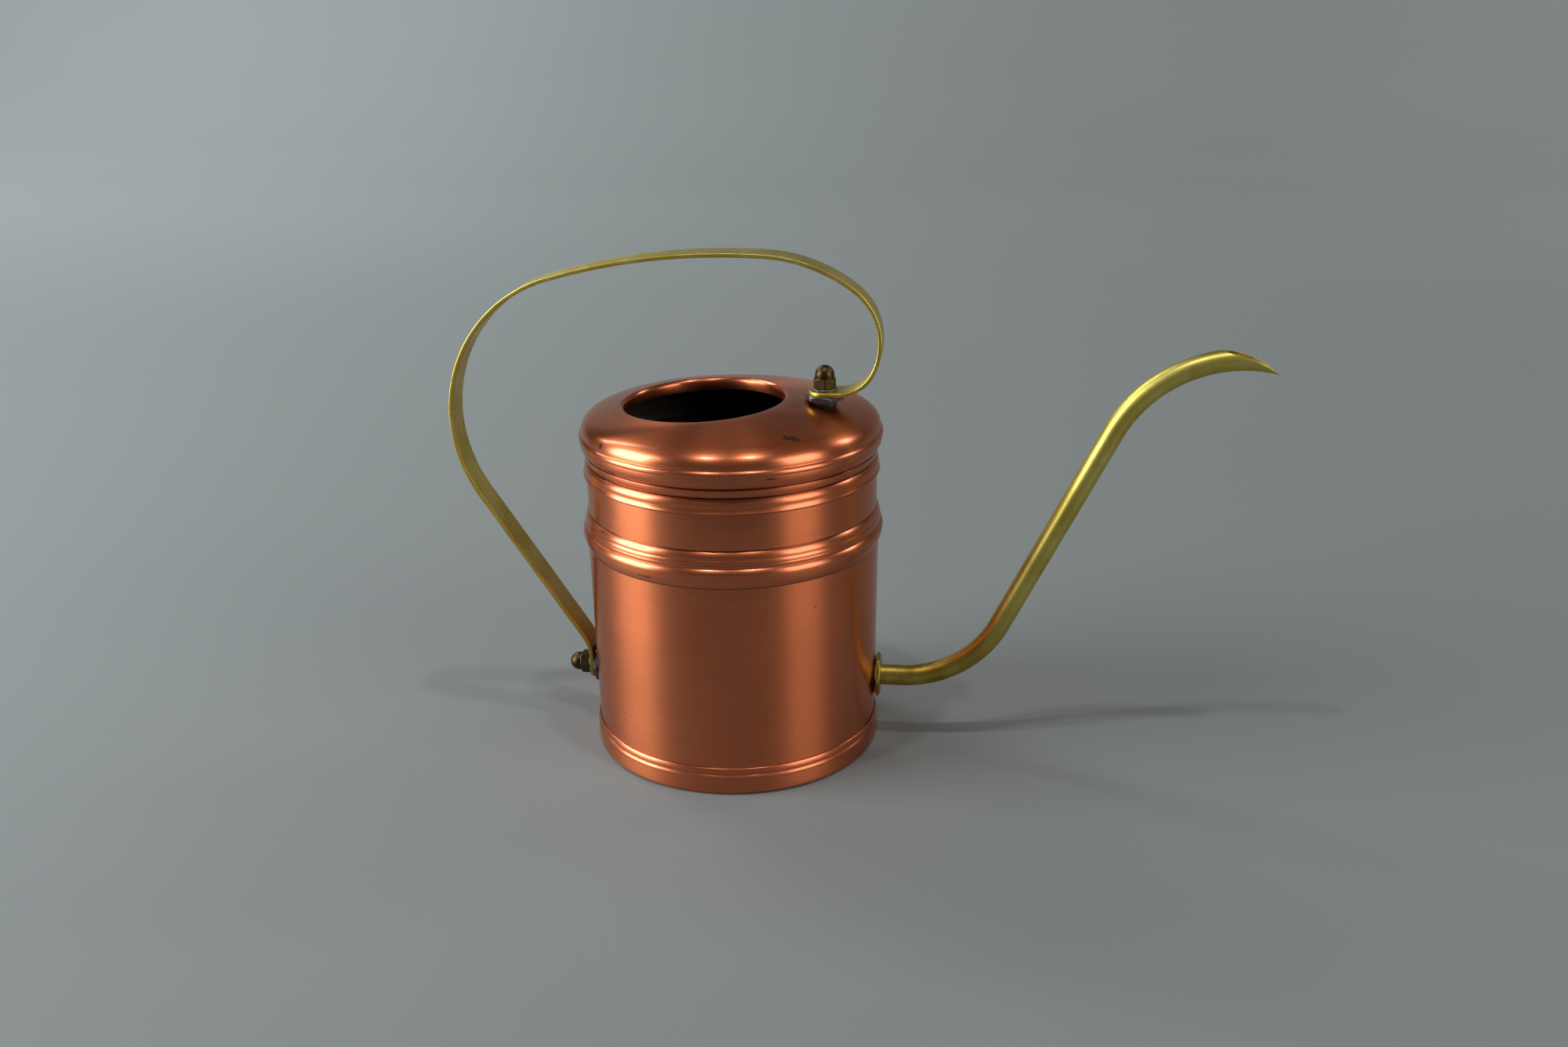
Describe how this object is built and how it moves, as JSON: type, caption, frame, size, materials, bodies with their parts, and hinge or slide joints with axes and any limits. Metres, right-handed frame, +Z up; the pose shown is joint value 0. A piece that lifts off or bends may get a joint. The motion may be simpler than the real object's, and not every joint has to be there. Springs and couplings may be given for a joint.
{
  "type": "watering can",
  "caption": "Indoor watering can with a ribbed cylindrical copper body, domed top with an off-centre filling mouth, curled brass strap handle and long swan-neck spout",
  "frame": {"origin": "centre of the flat underside of the base, on the body's axis", "axes": "+Z up, +X from the body towards the spout, +Y to the left when looking along +X"},
  "size_m": [0.3021, 0.1132, 0.1896],
  "materials": {
    "copper": "clear-lacquered satin copper, finely brushed round the body",
    "copper_base": "clear-lacquered satin copper, a little duller",
    "brass_strap": "aged olive-gold brass strap, speckled, brown tarnish low down",
    "brass_tube": "polished yellow-green brass tube, tarnished on its bends",
    "bronze": "dark antique-bronze plated",
    "zinc": "zinc-plated steel",
    "rubber": "black rubber seal"
  },
  "bodies": {
    "root": {"base_pan": "copper_base", "body_shell": "copper", "domed_top": "copper", "handle_strap": "brass_strap", "top_cap_nut": "bronze", "top_washer": "zinc", "top_spacer_nut": "zinc", "top_seal": "rubber", "top_inner_seal": "rubber", "top_inner_washer": "zinc", "top_screw": "zinc", "rear_cap_nut": "bronze", "rear_washer": "zinc", "rear_spacer_nut": "zinc", "rear_seal": "rubber", "rear_inner_seal": "rubber", "rear_inner_washer": "zinc", "rear_screw": "zinc", "spout_tube": "brass_tube", "spout_flange_nut": "brass_tube", "spout_seal": "rubber", "spout_inner_seal": "rubber", "spout_inner_washer": "brass_tube", "spout_lock_nut": "brass_tube"}
  },
  "joints": []
}
